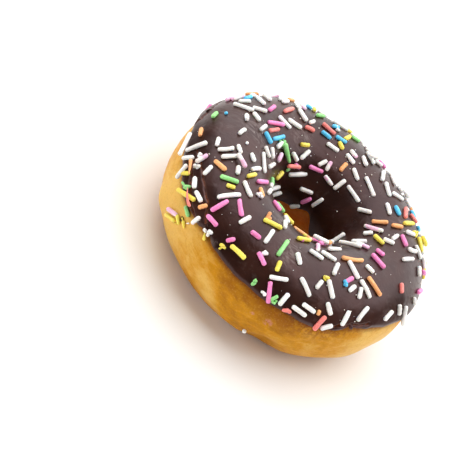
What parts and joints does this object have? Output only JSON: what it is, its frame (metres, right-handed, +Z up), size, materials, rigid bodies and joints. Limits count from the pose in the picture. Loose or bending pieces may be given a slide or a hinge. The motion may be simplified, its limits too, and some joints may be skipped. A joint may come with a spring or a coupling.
{
  "type": "doughnut",
  "caption": "Fried ring doughnut with a layer of chocolate icing and coloured rod sprinkles over its upper half, lying flat.",
  "frame": {"origin": "on the table under the middle of the doughnut, at the centre of the bounding box's bottom face", "axes": "+Z up through the hole, the iced side up; the picture's camera looks from -Y and above"},
  "size_m": [0.086, 0.0849, 0.0353],
  "materials": {
    "dough": "fried dough, golden brown, satin",
    "icing": "set dark chocolate icing, satin, with matt sugar sprinkles"
  },
  "bodies": {
    "root": {"dough": "dough", "icing": "icing"}
  },
  "joints": []
}
